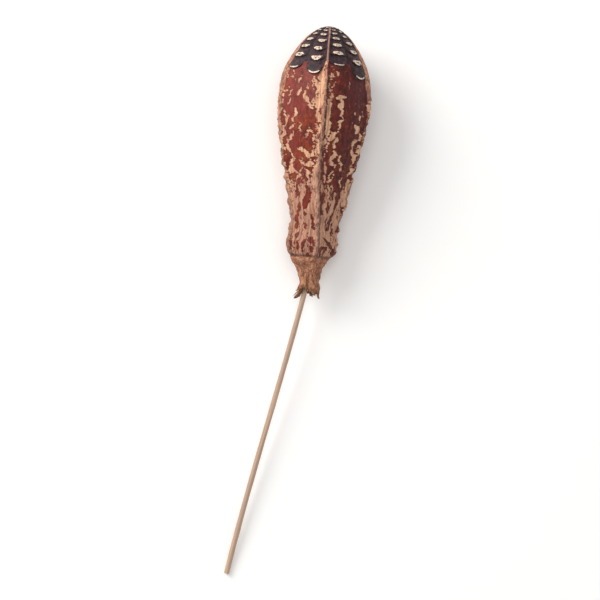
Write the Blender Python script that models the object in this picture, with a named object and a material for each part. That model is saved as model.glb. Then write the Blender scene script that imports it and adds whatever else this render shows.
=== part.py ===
"""A dried mahogany seed pod on its stick, lying on a flat surface.

The pod is the woody core of the fruit, grown in one piece. Five ribs run from its tip to its neck, with
five faces between them. Near the tip each face carries two columns of overlapping scales, where the
seeds hung. The neck ends in a torn, hollow rim, and the stick is pushed into a hole in it.

Metres, +Z up. The tip points along +Y and the stick runs off towards -Y. One rib is on top. The piece
rests on a small flat spot of the face below, at its fullest place, and on the far end of the stick.
"""

import math

import bmesh
import bpy
import numpy as np
from mathutils import Matrix, Vector

MM = 0.001

# Driving dimensions of the pod, in millimetres. Each point of the outline is a distance from the tip,
# measured along the axis, and the radius over the ribs there.
TIP = (0.0, 0.0)
OUTLINE = (
    TIP,
    (1.2, 4.0),
    (4.4, 9.0),
    (9.4, 13.4),
    (19.7, 19.2),
    (36.0, 21.3),
    (57.0, 18.0),
    (78.0, 13.5),
    (89.0, 11.5),
    (96.5, 12.3),
    (101.5, 10.3),
    (107.0, 6.6),
    (112.0, 5.3),
    (117.0, 5.9),
)
CREASE = 101.7
CREASE_DEPTH = 0.5

# Ribs and faces
RIBS = 5
FACE_ANGLE = 2 * math.pi / RIBS
RIB_HEIGHT = 0.95
RIB_WIDTH = 1.1
CROWN_RIB_WIDTH = 0.55
CROWN_FULLNESS = 0.95
FACE_FULLNESS = 0.5
KNOB_HEIGHT = 0.3

# The lower half twists about the axis and sways to one side
TWIST = math.radians(20)
TWIST_FROM, TWIST_TO = 66.0, 108.0
SWAY = 1.8
SWAY_MIDDLE = 100.0
SWAY_REACH = 13.0

# Crown of scales: two columns on each face, the second one longer. Lengths run along the surface.
COLUMNS = 2 * RIBS
SCALES = 7
SCALE_GROWTH = 1.15
BARE_TIP = 2.5
SHORT_COLUMN = 28.7
LONG_COLUMN = 32.4
UNEVEN_COLUMNS = 1.0
LOWEST_DROOP = 0.7
DROOP = 0.45
LOWEST_LOBE = 0.84
LIP_HEIGHT = 0.8
LIP_RUN = 0.35
PLATE = 0.3

# Torn rim of the neck and the hollow inside it
TOOTH = 1.3
NOTCH = 3.0
NOTCH_ANGLE = math.radians(-25)
NOTCH_WIDTH = math.radians(30)
RIM_WALL = 1.0
HOLLOW_RADIUS = 3.5
HOLLOW_FLOOR = 111.6

# Stick, and the hole that it is pushed into
STICK_RADIUS = 1.15
STICK_LENGTH = 146.0
STICK_START = 100.0
STICK_SIDE_AT_START = 0.9
STICK_LEAN = math.radians(9.6)
STICK_BOW = math.radians(2.2)
STICK_POINTS = 25
HOLE_GAP = 0.3
HOLE_CUT_DEPTH = 40.0

# How the piece lies: the lowest face is flattened by this depth where it rests
FOOT_DEPTH = 0.2
FLOOR_CUT_SIDE = 600.0

# Mesh density
STEPS_PER_COLUMN = 8
SEGMENTS = COLUMNS * STEPS_PER_COLUMN
SCALE_STEPS = (0.0, 0.5, 1.0)
BODY_ROWS = 17
NECK_ROWS = 6
HOLE_SIDES = 16


def clear_scene():
    for obj in list(bpy.data.objects):
        bpy.data.objects.remove(obj, do_unlink=True)


def collection_named(name, hidden=False):
    collection = bpy.data.collections.new(name)
    collection.hide_render = hidden
    bpy.context.scene.collection.children.link(collection)
    return collection


def finish_material(name, colour, roughness):
    material = bpy.data.materials.new(name)
    material.use_nodes = True
    shader = material.node_tree.nodes["Principled BSDF"]
    shader.inputs["Base Color"].default_value = (*colour, 1.0)
    shader.inputs["Roughness"].default_value = roughness
    shader.inputs["Metallic"].default_value = 0.0
    return material


def smooth_step(value, low, high):
    share = np.clip((value - low) / (high - low), 0.0, 1.0)
    return share * share * (3.0 - 2.0 * share)


def outline_curve(steps=40):
    """The outline as a smooth curve: length along it, distance from the tip, and radius over the ribs."""
    mirrored = (OUTLINE[1][0], -OUTLINE[1][1])
    points = np.array([mirrored, *OUTLINE])
    reach = np.concatenate([[0.0], np.cumsum(np.linalg.norm(np.diff(points, axis=0), axis=1))])
    slopes = np.gradient(points, reach, axis=0)
    share = np.linspace(0.0, 1.0, steps, endpoint=False)[:, None]
    spans = []
    for i in range(1, len(points) - 1):
        width = reach[i + 1] - reach[i]
        spans.append(
            points[i] * (2 * share**3 - 3 * share**2 + 1)
            + slopes[i] * width * (share**3 - 2 * share**2 + share)
            + points[i + 1] * (3 * share**2 - 2 * share**3)
            + slopes[i + 1] * width * (share**3 - share**2)
        )
    curve = np.concatenate([*spans, points[-1:]])
    length = np.concatenate([[0.0], np.cumsum(np.linalg.norm(np.diff(curve, axis=0), axis=1))])
    return length, curve[:, 0], curve[:, 1]


LENGTH, ALONG, RADIUS = outline_curve()
TANGENT = np.gradient(np.stack([ALONG, RADIUS]), LENGTH, axis=1)
CREASE_LENGTH = float(np.interp(CREASE, ALONG, LENGTH))


def column_angles():
    """The angle of each segment from the top rib, closer together beside ribs and grooves."""
    even = np.linspace(-1.0, 1.0, STEPS_PER_COLUMN, endpoint=False)
    across = 0.5 * even + 0.5 * np.sin(even * math.pi / 2)
    centres = (np.arange(COLUMNS) + 0.5) * math.pi / RIBS
    return (centres[:, None] + across[None, :] * math.pi / COLUMNS).ravel()


def column_end(column):
    """Length from the tip to the lowest rim of a column, the columns being counted from the top rib."""
    column = column % COLUMNS
    uneven = UNEVEN_COLUMNS * np.sin(column * 5 * math.pi / 8 - math.pi / 2)
    return np.where(column % 2, LONG_COLUMN, SHORT_COLUMN) + uneven


def lobe_share(number):
    """Share of its column's width that a scale fills, counted from the lowest."""
    return min(1.0, LOWEST_LOBE + 0.04 * number)


def scale_rim(number, angle):
    """Length from the tip to the lower rim of a scale, counted from the lowest, at each angle."""
    if number == SCALES:
        return np.full_like(angle, BARE_TIP)
    share = (SCALE_GROWTH ** (SCALES - number) - 1) / (SCALE_GROWTH**SCALES - 1)
    step = (SCALE_GROWTH - 1) * SCALE_GROWTH ** (SCALES - number - 1) / (SCALE_GROWTH**SCALES - 1)
    droop = (LOWEST_DROOP if number == 0 else DROOP) * step * LONG_COLUMN
    place = angle / (math.pi / RIBS)
    column = np.floor(place)
    across = place - column
    before, here, after = (BARE_TIP + (column_end(column + i) - BARE_TIP) * share for i in (-1, 0, 1))
    edge = (before + (after - before) * across + here) / 2 - droop
    from_middle = (2.0 * across - 1.0) / lobe_share(number)
    return edge + (here - edge) * np.sqrt(np.maximum(0.0, 1.0 - from_middle**2))


def scale_lift(number, share, angle):
    """How far a scale stands out of the surface, at a share of its way from root to rim."""
    place = angle / (math.pi / RIBS)
    from_middle = np.abs(2.0 * (place - np.floor(place)) - 1.0) / lobe_share(number)
    size = SCALE_GROWTH**-number
    return (PLATE + LIP_HEIGHT * share) * size * (1.0 - np.minimum(1.0, from_middle) ** 3)


def knobs(length, angle):
    """Uneven swelling of the ribs, stronger towards the neck."""
    rib = np.round(angle / FACE_ANGLE)
    wave = (
        np.sin(length * 1.13 + rib * 2.1)
        + 0.7 * np.sin(length * 0.61 + rib * 4.0)
        + 0.4 * np.sin(length * 1.9 + rib)
    )
    return KNOB_HEIGHT * wave * smooth_step(length, 54.0, 72.0)


def skin_radius(length, angle):
    """Radius of the ribbed body without scales."""
    radius = np.interp(length, LENGTH, RADIUS)
    in_crown = 1.0 - smooth_step(length, 24.0, 34.0)
    below_crease = smooth_step(length, CREASE_LENGTH - 1.0, CREASE_LENGTH + 4.0)
    from_rib = angle - FACE_ANGLE * np.round(angle / FACE_ANGLE)
    from_middle = FACE_ANGLE / 2 - np.abs(from_rib)
    flat = math.cos(FACE_ANGLE / 2) / np.cos(from_middle)
    fullness = FACE_FULLNESS + (CROWN_FULLNESS - FACE_FULLNESS) * np.maximum(in_crown, below_crease)
    width = RIB_WIDTH + (CROWN_RIB_WIDTH - RIB_WIDTH) * in_crown
    tip_fade = smooth_step(length, 0.0, 10.0)
    face = (radius - RIB_HEIGHT * tip_fade) * (flat + (1.0 - flat) * fullness)
    ridge = (RIB_HEIGHT * tip_fade + knobs(length, angle)) * (1.0 - 0.6 * below_crease)
    fade = np.exp(-((face * from_rib / width) ** 2))
    crease = CREASE_DEPTH * np.exp(-(((length - CREASE_LENGTH) / 0.7) ** 2))
    return face + ridge * fade - crease


def torn_edge(angle):
    """How far the torn rim of the neck hangs past its mean end, with a notch where the stick leaves."""
    teeth = (
        np.sin(3 * angle + 0.6)
        + 0.6 * np.sin(7 * angle + 2.0)
        + 0.35 * np.sin(11 * angle + 4.4)
    )
    from_notch = np.angle(np.exp(1j * (angle - NOTCH_ANGLE)))
    return TOOTH * teeth - NOTCH * np.exp(-((from_notch / NOTCH_WIDTH) ** 2))


def on_surface(length, angle, lift):
    """(distance from the tip, radius) of points lifted off the ribbed body along its normal."""
    normal_along = -np.interp(length, LENGTH, TANGENT[1])
    normal_out = np.interp(length, LENGTH, TANGENT[0])
    along = np.interp(length, LENGTH, ALONG) + normal_along * lift
    return along, skin_radius(length, angle) + normal_out * lift


def pod_rows():
    """(distance from the tip, radius) of each row of the pod, at every angle, from tip to hollow floor."""
    angle = column_angles()
    rows = []
    for number in reversed(range(SCALES)):
        root = scale_rim(number + 1, angle) + LIP_RUN
        rim = scale_rim(number, angle)
        for share in SCALE_STEPS:
            rows.append(on_surface(root + (rim - root) * share, angle, scale_lift(number, share, angle)))
    body_start = scale_rim(0, angle) + LIP_RUN
    for share in np.linspace(0.0, 1.0, BODY_ROWS):
        length = body_start + (CREASE_LENGTH - 2.0 - body_start) * share
        rows.append(on_surface(length, angle, 0.0))
    for offset in (-0.8, 0.0, 0.8):
        rows.append(on_surface(np.full_like(angle, CREASE_LENGTH + offset), angle, 0.0))
    neck_start = CREASE_LENGTH + 2.2
    neck_end = LENGTH[-1] + torn_edge(angle)
    for share in np.linspace(0.0, 1.0, NECK_ROWS):
        length = neck_start + (neck_end - neck_start) * share
        past_end = np.maximum(length - LENGTH[-1], 0.0)
        along, radius = on_surface(np.minimum(length, LENGTH[-1]), angle, 0.0)
        rows.append((along + past_end, radius + 0.1 * past_end))
    rim_along, rim_radius = rows[-1]
    rows.append((rim_along - 0.2, rim_radius - RIM_WALL))
    rows.append((np.full_like(angle, HOLLOW_FLOOR + 0.4), np.full_like(angle, HOLLOW_RADIUS)))
    rows.append((np.full_like(angle, HOLLOW_FLOOR), np.full_like(angle, HOLLOW_RADIUS / 2)))
    return rows


def turned(along, radius, angle):
    """Points of the pod's own space, in metres: the tip at the origin and the axis along -Y."""
    turn = angle + TWIST * smooth_step(along, TWIST_FROM, TWIST_TO)
    side = radius * np.sin(turn) - SWAY * np.exp(-(((along - SWAY_MIDDLE) / SWAY_REACH) ** 2))
    return np.stack([side, -along, radius * np.cos(turn)], axis=-1) * MM


def pod_mesh():
    """A sphere's grid of rows and segments, laid over the surface of the pod."""
    rows = pod_rows()
    angle = column_angles()
    grid = np.stack([turned(along, radius, angle) for along, radius in rows])
    bm = bmesh.new()
    bmesh.ops.create_uvsphere(bm, u_segments=SEGMENTS, v_segments=len(rows) + 1, radius=1.0)
    for vertex in bm.verts:
        row = round(math.acos(max(-1.0, min(1.0, vertex.co.z))) / math.pi * (len(rows) + 1))
        if row == 0:
            vertex.co = Vector((0.0, 0.0, 0.0))
        elif row == len(rows) + 1:
            vertex.co = Vector((0.0, -(HOLLOW_FLOOR + 0.1) * MM, 0.0))
        else:
            turn = math.atan2(vertex.co.y, vertex.co.x) % (2 * math.pi)
            segment = round(turn / (2 * math.pi) * SEGMENTS) % SEGMENTS
            vertex.co = Vector(grid[row - 1, segment])
    bmesh.ops.recalc_face_normals(bm, faces=bm.faces)
    mesh = bpy.data.meshes.new("pod")
    bm.to_mesh(mesh)
    bm.free()
    return mesh


def stick_route():
    """Points of the stick's centre line in the pod's own space, from the hole to the far end."""
    points = [Vector((STICK_SIDE_AT_START, -STICK_START, 0.0))]
    step = STICK_LENGTH / (STICK_POINTS - 1)
    for i in range(STICK_POINTS - 1):
        lean = STICK_LEAN + STICK_BOW * math.sin(math.pi * (i + 0.5) * step / STICK_LENGTH)
        points.append(points[-1] + step * Vector((-math.sin(lean), -math.cos(lean), 0.0)))
    return [point * MM for point in points]


def stick_object(collection):
    curve = bpy.data.curves.new("stick", "CURVE")
    curve.dimensions = "3D"
    curve.bevel_depth = STICK_RADIUS * MM
    curve.bevel_resolution = 3
    curve.use_fill_caps = True
    route = stick_route()
    spline = curve.splines.new("POLY")
    spline.points.add(len(route) - 1)
    for point, place in zip(spline.points, route):
        point.co = (*place, 1.0)
    stick = bpy.data.objects.new("stick", curve)
    collection.objects.link(stick)
    return stick


def hole_cutter(collection):
    """A cylinder round the stick's hidden end, with the gap that the stick needs."""
    first, _, third = stick_route()[:3]
    direction = (third - first).normalized()
    depth = HOLE_CUT_DEPTH * MM
    bm = bmesh.new()
    radius = (STICK_RADIUS + HOLE_GAP) * MM
    bmesh.ops.create_cone(
        bm, cap_ends=True, segments=HOLE_SIDES, radius1=radius, radius2=radius, depth=depth
    )
    mesh = bpy.data.meshes.new("stick_hole")
    bm.to_mesh(mesh)
    bm.free()
    cutter = bpy.data.objects.new("stick_hole", mesh)
    middle = first + direction * (depth / 2 - HOLE_GAP * MM)
    cutter.matrix_basis = Matrix.Translation(middle) @ direction.to_track_quat("Z", "Y").to_matrix().to_4x4()
    cutter.hide_render = True
    cutter.display_type = "WIRE"
    collection.objects.link(cutter)
    return cutter


def floor_cutter(collection):
    """A block whose top is the surface that the pod lies on."""
    side = FLOOR_CUT_SIDE * MM
    bm = bmesh.new()
    bmesh.ops.create_cube(bm, size=side)
    mesh = bpy.data.meshes.new("floor_cut")
    bm.to_mesh(mesh)
    bm.free()
    cutter = bpy.data.objects.new("floor_cut", mesh)
    cutter.location.z = -side / 2
    cutter.hide_render = True
    cutter.display_type = "WIRE"
    collection.objects.link(cutter)
    return cutter


def cut(obj, cutter):
    modifier = obj.modifiers.new("cut_" + cutter.name, "BOOLEAN")
    modifier.operation = "DIFFERENCE"
    modifier.solver = "EXACT"
    modifier.object = cutter


def resting_place(points, stick_end):
    """(tilt, height) at which the pod sinks by the foot's depth and the stick's end just touches."""
    low, high = 0.0, math.radians(12)
    for _ in range(40):
        tilt = (low + high) / 2
        down = points[:, 1] * math.sin(tilt) + points[:, 2] * math.cos(tilt)
        height = -FOOT_DEPTH * MM - down.min()
        end = stick_end.y * math.sin(tilt) + height
        if end > STICK_RADIUS * MM:
            low = tilt
        else:
            high = tilt
    return tilt, height


def centre_over_origin(root, objects):
    """Moves the whole piece so that the origin is under the middle of its box."""
    bpy.context.view_layer.update()
    graph = bpy.context.evaluated_depsgraph_get()
    places = []
    for obj in objects:
        evaluated = obj.evaluated_get(graph)
        places += [evaluated.matrix_world @ vertex.co for vertex in evaluated.to_mesh().vertices]
        evaluated.to_mesh_clear()
    low, high = np.min(places, axis=0), np.max(places, axis=0)
    root.location.x -= (low[0] + high[0]) / 2
    root.location.y -= (low[1] + high[1]) / 2
    bpy.context.view_layer.update()


def main():
    clear_scene()
    parts = collection_named("mahogany_pod")
    cutters = collection_named("cutters", hidden=True)

    mesh = pod_mesh()
    mesh.materials.append(finish_material("red_brown_wood", (0.23, 0.075, 0.045), 0.5))
    mesh.shade_smooth()
    mesh.set_sharp_from_angle(angle=math.radians(40))
    pod = bpy.data.objects.new("pod", mesh)
    parts.objects.link(pod)
    stick = stick_object(parts)
    stick.data.materials.append(finish_material("pale_cane", (0.42, 0.29, 0.2), 0.6))

    points = np.array([vertex.co for vertex in mesh.vertices])
    tilt, height = resting_place(points, stick_route()[-1])
    root = bpy.data.objects.new("lying_pose", None)
    parts.objects.link(root)
    root.rotation_euler.x = tilt
    root.location.z = height
    hole = hole_cutter(cutters)
    for obj in (pod, stick, hole):
        obj.parent = root
    cut(pod, hole)
    cut(pod, floor_cutter(cutters))
    centre_over_origin(root, (pod, stick))
    print("tilt in degrees:", round(math.degrees(tilt), 3))
    print("tip in metres:", [round(value, 5) for value in root.matrix_world.translation])


main()
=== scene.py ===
# %% [markdown]
# A dried mahogany seed pod on its stick, lying on a pale surface and seen from straight above.
#
# The real pod is the woody core of the fruit. Five ribs run down it, and the seeds hung from the two
# columns of scales on each face near the tip. It kept most of a satin red film, which has flaked away in
# streaks down to tan wood. This lesson lays a fine mesh over that shape with the same few dimensions that
# the plain model has, and then paints it with noise that follows the grain.
#
# First the plain model is loaded. Its box is what the finished pod is held against.

# %% Load the plain model
import math

import bmesh
import bpy
import numpy as np
from mathutils import Matrix, Vector, noise


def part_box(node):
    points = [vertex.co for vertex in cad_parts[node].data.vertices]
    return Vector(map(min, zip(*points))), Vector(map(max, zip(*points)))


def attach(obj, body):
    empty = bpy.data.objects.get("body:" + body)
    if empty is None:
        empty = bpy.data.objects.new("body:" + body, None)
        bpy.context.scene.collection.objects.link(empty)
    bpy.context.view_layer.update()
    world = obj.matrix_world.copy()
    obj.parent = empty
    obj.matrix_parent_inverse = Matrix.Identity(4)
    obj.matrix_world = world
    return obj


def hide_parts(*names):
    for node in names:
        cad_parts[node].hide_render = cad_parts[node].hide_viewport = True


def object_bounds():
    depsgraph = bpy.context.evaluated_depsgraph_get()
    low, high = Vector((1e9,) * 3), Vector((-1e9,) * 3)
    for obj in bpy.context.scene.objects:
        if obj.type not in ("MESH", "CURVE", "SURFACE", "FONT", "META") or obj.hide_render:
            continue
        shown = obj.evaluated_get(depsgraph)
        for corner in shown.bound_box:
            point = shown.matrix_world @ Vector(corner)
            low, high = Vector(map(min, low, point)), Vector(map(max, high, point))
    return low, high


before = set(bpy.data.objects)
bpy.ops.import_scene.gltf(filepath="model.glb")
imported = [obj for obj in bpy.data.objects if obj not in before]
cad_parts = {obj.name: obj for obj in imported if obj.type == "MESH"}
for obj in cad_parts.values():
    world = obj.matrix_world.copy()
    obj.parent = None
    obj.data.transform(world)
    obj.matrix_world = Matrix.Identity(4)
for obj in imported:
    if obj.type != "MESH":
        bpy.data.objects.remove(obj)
plain_low, plain_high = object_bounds()
MM = 0.001
print("plain model, mm:", [round(side / MM, 1) for side in plain_high - plain_low])

# %% [markdown]
# The outline of a turned shape is best given by a few points and a smooth curve through them. Here each
# point is a distance from the tip and the radius over the ribs, both in millimetres. A curve that is
# measured by its own length is handy on a dome: near the tip the radius grows fast and the distance along
# the axis hardly at all, and length along the surface treats both alike.

# %% Outline of the pod
OUTLINE = (
    (0.0, 0.0),
    (1.2, 4.0),
    (4.4, 9.0),
    (9.4, 13.4),
    (19.7, 19.2),
    (36.0, 21.3),
    (57.0, 18.0),
    (78.0, 13.5),
    (89.0, 11.5),
    (96.5, 12.3),
    (101.5, 10.3),
    (107.0, 6.6),
    (112.0, 5.3),
    (117.0, 5.9),
)


def outline_curve(steps=40):
    mirrored = (OUTLINE[1][0], -OUTLINE[1][1])
    points = np.array([mirrored, *OUTLINE])
    reach = np.concatenate([[0.0], np.cumsum(np.linalg.norm(np.diff(points, axis=0), axis=1))])
    slopes = np.gradient(points, reach, axis=0)
    share = np.linspace(0.0, 1.0, steps, endpoint=False)[:, None]
    spans = []
    for i in range(1, len(points) - 1):
        width = reach[i + 1] - reach[i]
        spans.append(
            points[i] * (2 * share**3 - 3 * share**2 + 1)
            + slopes[i] * width * (share**3 - 2 * share**2 + share)
            + points[i + 1] * (3 * share**2 - 2 * share**3)
            + slopes[i + 1] * width * (share**3 - share**2)
        )
    curve = np.concatenate([*spans, points[-1:]])
    length = np.concatenate([[0.0], np.cumsum(np.linalg.norm(np.diff(curve, axis=0), axis=1))])
    return length, curve[:, 0], curve[:, 1]


LENGTH, ALONG, RADIUS = outline_curve()
TANGENT = np.gradient(np.stack([ALONG, RADIUS]), LENGTH, axis=1)
CREASE_LENGTH = float(np.interp(101.7, ALONG, LENGTH))
print("surface from tip to rim, mm:", round(float(LENGTH[-1]), 1))


# %% [markdown]
# Every shape rule below is a function of two numbers: the length from the tip and the angle round the
# axis, where 0 is the rib on top. A smooth step turns one kind of surface into another without a seam.

# %% Ribs and faces
RIBS = 5
FACE_ANGLE = 2 * math.pi / RIBS
RIB_HEIGHT = 0.95
RIB_WIDTH = 1.1
CROWN_RIB_WIDTH = 0.55
CROWN_FULLNESS = 0.65
FACE_FULLNESS = 0.5
KNOB_HEIGHT = 0.3


def smooth_step(value, low, high):
    share = np.clip((value - low) / (high - low), 0.0, 1.0)
    return share * share * (3.0 - 2.0 * share)


def knobs(length, angle):
    """Uneven swelling of the ribs towards the neck."""
    rib = np.round(angle / FACE_ANGLE)
    wave = (
        np.sin(length * 1.13 + rib * 2.1)
        + 0.7 * np.sin(length * 0.61 + rib * 4.0)
        + 0.4 * np.sin(length * 1.9 + rib)
    )
    return KNOB_HEIGHT * wave * smooth_step(length, 54.0, 72.0)


def skin_radius(length, angle):
    """Radius of the ribbed body without scales."""
    radius = np.interp(length, LENGTH, RADIUS)
    in_crown = 1.0 - smooth_step(length, 24.0, 34.0)
    below_crease = smooth_step(length, CREASE_LENGTH - 1.0, CREASE_LENGTH + 4.0)
    from_rib = angle - FACE_ANGLE * np.round(angle / FACE_ANGLE)
    from_middle = FACE_ANGLE / 2 - np.abs(from_rib)
    flat = math.cos(FACE_ANGLE / 2) / np.cos(from_middle)
    fullness = FACE_FULLNESS + (CROWN_FULLNESS - FACE_FULLNESS) * np.maximum(in_crown, below_crease)
    width = RIB_WIDTH + (CROWN_RIB_WIDTH - RIB_WIDTH) * (1.0 - smooth_step(length, 14.0, 32.0))
    tip_fade = smooth_step(length, 0.0, 10.0)
    face = (radius - RIB_HEIGHT * tip_fade) * (flat + (1.0 - flat) * fullness)
    ridge = (RIB_HEIGHT * tip_fade + knobs(length, angle)) * (1.0 - 0.6 * below_crease)
    across = face * from_rib / width
    beside = 0.22 * tip_fade * np.exp(-((np.abs(across) - 2.1) ** 2) * 1.6) * (1.0 - below_crease)
    crease = 0.5 * np.exp(-(((length - CREASE_LENGTH) / 0.7) ** 2))
    return face + ridge * np.exp(-(across**2)) - beside - crease


fullest = float(skin_radius(np.array([44.0]), np.zeros(1))[0])
print("width over the ribs at the fullest place, mm:", round(2 * fullest, 1))


# %% [markdown]
# The scales overlap like roof tiles. Each one starts under the rim of the scale above it, rises away from
# the surface as it runs down and ends in a rounded lip. Two rules make them all: where the rim of a scale
# lies at each angle, and how far the scale stands out at each share of its length. Scales grow by the same
# factor from one to the next, and every second column is longer, as on the real pod.

# %% Crown of scales
COLUMNS = 2 * RIBS
SCALES = 7
SCALE_GROWTH = 1.15
BARE_TIP = 2.5
SHORT_COLUMN = 28.7
LONG_COLUMN = 32.4
UNEVEN_COLUMNS = 1.0
LOWEST_DROOP = 0.7
DROOP = 0.45
LOWEST_LOBE = 0.84
LIP_HEIGHT = 0.8
PLATE = 0.3


def column_end(column):
    column = column % COLUMNS
    uneven = UNEVEN_COLUMNS * np.sin(column * 5 * math.pi / 8 - math.pi / 2)
    return np.where(column % 2, LONG_COLUMN, SHORT_COLUMN) + uneven


def lobe_share(number):
    return min(1.0, LOWEST_LOBE + 0.04 * number)


def scale_rim(number, angle):
    """Length from the tip to the lower rim of a scale, counted from the lowest, at each angle."""
    if number == SCALES:
        return np.full_like(angle, BARE_TIP)
    share = (SCALE_GROWTH ** (SCALES - number) - 1) / (SCALE_GROWTH**SCALES - 1)
    step = (SCALE_GROWTH - 1) * SCALE_GROWTH ** (SCALES - number - 1) / (SCALE_GROWTH**SCALES - 1)
    droop = (LOWEST_DROOP if number == 0 else DROOP) * step * LONG_COLUMN
    place = angle / (math.pi / RIBS)
    column = np.floor(place)
    across = place - column
    before, here, after = (BARE_TIP + (column_end(column + i) - BARE_TIP) * share for i in (-1, 0, 1))
    edge = (before + (after - before) * across + here) / 2 - droop
    from_middle = (2.0 * across - 1.0) / lobe_share(number)
    return edge + (here - edge) * np.sqrt(np.maximum(0.0, 1.0 - from_middle**2))


def scale_lift(number, share, angle):
    """How far a scale stands out of the surface, at a share of its way from root to rim."""
    place = angle / (math.pi / RIBS)
    from_middle = np.abs(2.0 * (place - np.floor(place)) - 1.0) / lobe_share(number)
    size = SCALE_GROWTH**-number
    return (PLATE + LIP_HEIGHT * share) * size * (1.0 - np.minimum(1.0, from_middle) ** 3)


for number in (0, SCALES - 1):
    print("scale", number, "ends at, mm:", np.round(scale_rim(number, np.radians([18.0, 54.0])), 1))


# %% [markdown]
# The neck ends where the fruit was torn from its stalk. Waves of five frequencies make ragged teeth, and
# one notch lets the stick out. Below the rim the wall turns inwards to a shallow hollow.

# %% Torn rim of the neck
TOOTH = 1.3
NOTCH = 3.0
NOTCH_ANGLE = math.radians(-25)
NOTCH_WIDTH = math.radians(30)
RIM_WALL = 0.8
HOLLOW_RADIUS = 3.5
HOLLOW_FLOOR = 111.6


def torn_edge(angle):
    """How far the torn rim of the neck hangs past its mean end, with a notch where the stick leaves."""
    teeth = (
        np.sin(3 * angle + 0.6)
        + 0.6 * np.sin(7 * angle + 2.0)
        + 0.35 * np.sin(11 * angle + 4.4)
        + 0.25 * np.sin(23 * angle + 1.0)
        + 0.12 * np.sin(37 * angle + 3.0)
    )
    from_notch = np.angle(np.exp(1j * (angle - NOTCH_ANGLE)))
    return TOOTH * teeth - NOTCH * np.exp(-((from_notch / NOTCH_WIDTH) ** 2))


print("torn rim hangs out by up to, mm:", round(float(torn_edge(np.linspace(0, 6.28, 300)).max()), 1))


# %% [markdown]
# Now the rules are sampled on a grid. Rows run round the pod and segments run along it. Rows are placed
# where the shape needs them: many on each scale, two to turn each lip under, and about one every half
# millimetre on the body. Each row also carries what the paint will ask for later, such as how far down its
# scale a point is.

# %% Rows of the fine mesh
STEPS_PER_COLUMN = 30
SEGMENTS = COLUMNS * STEPS_PER_COLUMN
SCALE_ROWS = 12
BODY_ROWS = 172
NECK_ROWS = 34


def column_angles():
    """The angle of each segment from the top rib, closer together beside ribs and grooves."""
    even = np.linspace(-1.0, 1.0, STEPS_PER_COLUMN, endpoint=False)
    across = 0.5 * even + 0.5 * np.sin(even * math.pi / 2)
    centres = (np.arange(COLUMNS) + 0.5) * math.pi / RIBS
    return (centres[:, None] + across[None, :] * math.pi / COLUMNS).ravel()


def on_surface(length, angle, lift):
    """(distance from the tip, radius) of points lifted off the ribbed body along its normal."""
    normal_along = -np.interp(length, LENGTH, TANGENT[1])
    normal_out = np.interp(length, LENGTH, TANGENT[0])
    along = np.interp(length, LENGTH, ALONG) + normal_along * lift
    return along, skin_radius(length, angle) + normal_out * lift


class Rows:
    """Rows of the grid, each with its places and the values that the paint needs."""

    def __init__(self, angle):
        self.angle = angle
        self.places = []
        self.values = []

    def add(self, along, radius, length, down=0.0, number=-1.0, torn=0.0):
        self.places.append(np.stack(np.broadcast_arrays(along, radius, self.angle)[:2], -1))
        self.values.append(np.stack(np.broadcast_arrays(length, down, number, torn, self.angle)[:4], -1))


def pod_rows():
    angle = column_angles()
    rows = Rows(angle)
    for number in reversed(range(SCALES)):
        root = scale_rim(number + 1, angle) + 0.12
        rim = scale_rim(number, angle)
        for share in np.linspace(0.0, 1.0, SCALE_ROWS):
            length = root + (rim - root) * share
            lift = scale_lift(number, share, angle) * (1.0 - 0.12 * max(0.0, share - 0.9) / 0.1)
            rows.add(*on_surface(length, angle, lift), length, share, number)
        for under, rise in ((0.06, 0.55), (-0.1, 0.2)):
            lift = rise * scale_lift(number, 1.0, angle)
            rows.add(*on_surface(rim + under, angle, lift), rim, 1.0, number)
    body_start = scale_rim(0, angle) + 0.12
    for share in np.linspace(0.0, 1.0, BODY_ROWS):
        length = body_start + (CREASE_LENGTH - 2.0 - body_start) * share
        rows.add(*on_surface(length, angle, 0.0), length)
    for offset in (-1.4, -0.9, -0.5, -0.2, 0.1, 0.5, 0.9, 1.4):
        length = np.full_like(angle, CREASE_LENGTH + offset)
        rows.add(*on_surface(length, angle, 0.0), length)
    neck_start = CREASE_LENGTH + 2.0
    neck_end = LENGTH[-1] + torn_edge(angle)
    for share in np.linspace(0.0, 1.0, NECK_ROWS):
        length = neck_start + (neck_end - neck_start) * share
        past_end = np.maximum(length - LENGTH[-1], 0.0)
        along, radius = on_surface(np.minimum(length, LENGTH[-1]), angle, 0.0)
        rows.add(along + past_end, radius + 0.1 * past_end, length, torn=share**6)
    rim_along, rim_radius = rows.places[-1][:, 0], rows.places[-1][:, 1]
    for share in np.linspace(0.2, 1.0, 8):
        along = rim_along + (HOLLOW_FLOOR + 0.3 - rim_along) * share**1.5
        radius = rim_radius - RIM_WALL + (HOLLOW_RADIUS - rim_radius + RIM_WALL) * share
        rows.add(along, radius, neck_end, torn=1.0)
    for radius in (0.8 * HOLLOW_RADIUS, 0.5 * HOLLOW_RADIUS, 0.2 * HOLLOW_RADIUS):
        rows.add(HOLLOW_FLOOR, radius, neck_end, torn=1.0)
    return rows


rows = pod_rows()
print("rows:", len(rows.places), "segments:", SEGMENTS, "triangles:", 2 * len(rows.places) * SEGMENTS)


# %% [markdown]
# Blender's own sphere already has such a grid, closed at both ends. Its vertices are told apart by their
# latitude and longitude and moved to the rows. That keeps the mesh watertight without listing one face.
# Twisting and swaying the lower half comes last, because it bends everything alike.

# %% A sphere laid over the rows
TWIST = math.radians(20)
TWIST_FROM = 66.0
TWIST_TO = 108.0
SWAY = 1.8
SWAY_MIDDLE = 100.0
SWAY_REACH = 13.0


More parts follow.
